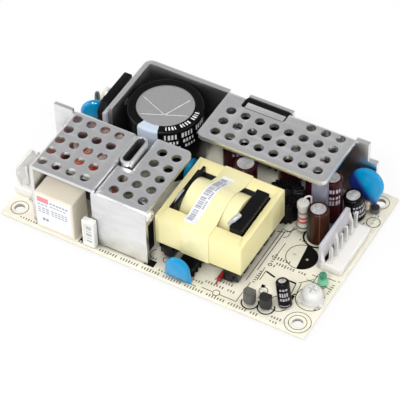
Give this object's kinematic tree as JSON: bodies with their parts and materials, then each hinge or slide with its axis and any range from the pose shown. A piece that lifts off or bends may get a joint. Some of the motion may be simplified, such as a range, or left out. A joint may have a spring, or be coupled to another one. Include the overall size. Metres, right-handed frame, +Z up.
{
  "type": "open frame power supply",
  "caption": "Open frame power supply on a bare board with folded aluminium heatsinks, a large bulk capacitor, a yellow taped transformer and two pin headers.",
  "frame": {"origin": "Centre of the four mounting holes, on the underside of the circuit board.", "axes": "+X runs along the board towards the output header, +Y towards the rear heatsink, +Z up out of the board."},
  "size_m": [0.1278, 0.0762, 0.0328],
  "materials": {
    "board_resin": "pale epoxy board with a satin mask",
    "tinned_metal": "bright tinned metal",
    "nylon": "pale translucent nylon",
    "film_case": "beige moulded case",
    "white_plastic": "white moulded plastic",
    "ferrite": "dark grey ceramic magnet material",
    "copper_wire": "enamelled copper wire",
    "aluminium_sheet": "plain mill finish sheet",
    "black_epoxy": "black moulded epoxy",
    "silicone_pad": "grey heat conducting pad",
    "green_coat": "grey green dipped coat",
    "can_aluminium": "rolled can top",
    "black_sleeve": "black shrunk sleeve",
    "blue_coat": "blue dipped coat",
    "yellow_tape": "yellow polyester tape",
    "pale_tape": "pale polyester tape",
    "black_enamel": "black covered wire",
    "maroon_sleeve": "dark maroon shrunk sleeve",
    "brown_sleeve": "brown shrunk sleeve",
    "grey_lacquer": "light grey lacquer",
    "tan_lacquer": "tan lacquer",
    "red_glass": "small red glass body",
    "green_lens": "green diffused lens"
  },
  "bodies": {
    "frame": {"circuit_board": "board_resin", "solder_joints": "tinned_metal", "input_header_housing": "nylon", "input_header_pins": "tinned_metal", "output_header_housing": "nylon", "output_header_pins": "tinned_metal", "box_capacitor": "film_case", "box_fuse": "white_plastic", "choke_bobbin": "white_plastic", "choke_core": "ferrite", "choke_windings": "copper_wire", "input_shield": "aluminium_sheet", "front_heatsink": "aluminium_sheet", "rear_heatsink": "aluminium_sheet", "spring_clip": "aluminium_sheet", "bridge_rectifier": "black_epoxy", "bridge_pad": "silicone_pad", "bridge_screw": "tinned_metal", "inrush_thermistor": "green_coat", "bulk_capacitor_can": "can_aluminium", "bulk_capacitor_sleeve": "black_sleeve", "input_disc_capacitor": "blue_coat", "inner_disc_capacitor": "blue_coat", "front_disc_capacitor": "blue_coat", "output_disc_capacitor": "blue_coat", "ferrite_bead": "ferrite", "core_left": "ferrite", "core_right": "ferrite", "transformer_bobbin": "black_epoxy", "transformer_pins": "tinned_metal", "transformer_winding": "yellow_tape", "core_tape": "yellow_tape", "winding_tape": "pale_tape", "switching_transistor": "black_epoxy", "transistor_clip": "tinned_metal", "clip_screw": "tinned_metal", "output_rectifiers": "black_epoxy", "rectifier_pads": "silicone_pad", "rectifier_screws": "tinned_metal", "inductor_core": "ferrite", "inductor_winding": "black_enamel", "output_capacitor_cans": "can_aluminium", "output_capacitor_sleeves": "maroon_sleeve", "brown_capacitor_can": "can_aluminium", "brown_capacitor_sleeve": "brown_sleeve", "maroon_capacitor_can": "can_aluminium", "maroon_capacitor_sleeve": "maroon_sleeve", "leaning_capacitor_can": "can_aluminium", "leaning_capacitor_sleeve": "black_sleeve", "small_capacitor_can": "can_aluminium", "small_capacitor_sleeve": "black_sleeve", "standing_resistor": "grey_lacquer", "film_resistor": "tan_lacquer", "small_transistors": "black_epoxy", "optocoupler": "black_epoxy", "control_chip": "black_epoxy", "small_diode": "red_glass", "trimmer_base": "white_plastic", "indicator_lamp": "green_lens"},
    "trimmer": {"trimmer_rotor": "nylon"}
  },
  "joints": [
    {"name": "trimmer_turn", "type": "hinge", "parent": "frame", "child": "trimmer", "pos_m": [0.0579, -0.0211, 0.0033], "axis": [0, 0, 1], "range_deg": [-115, 115]}
  ]
}
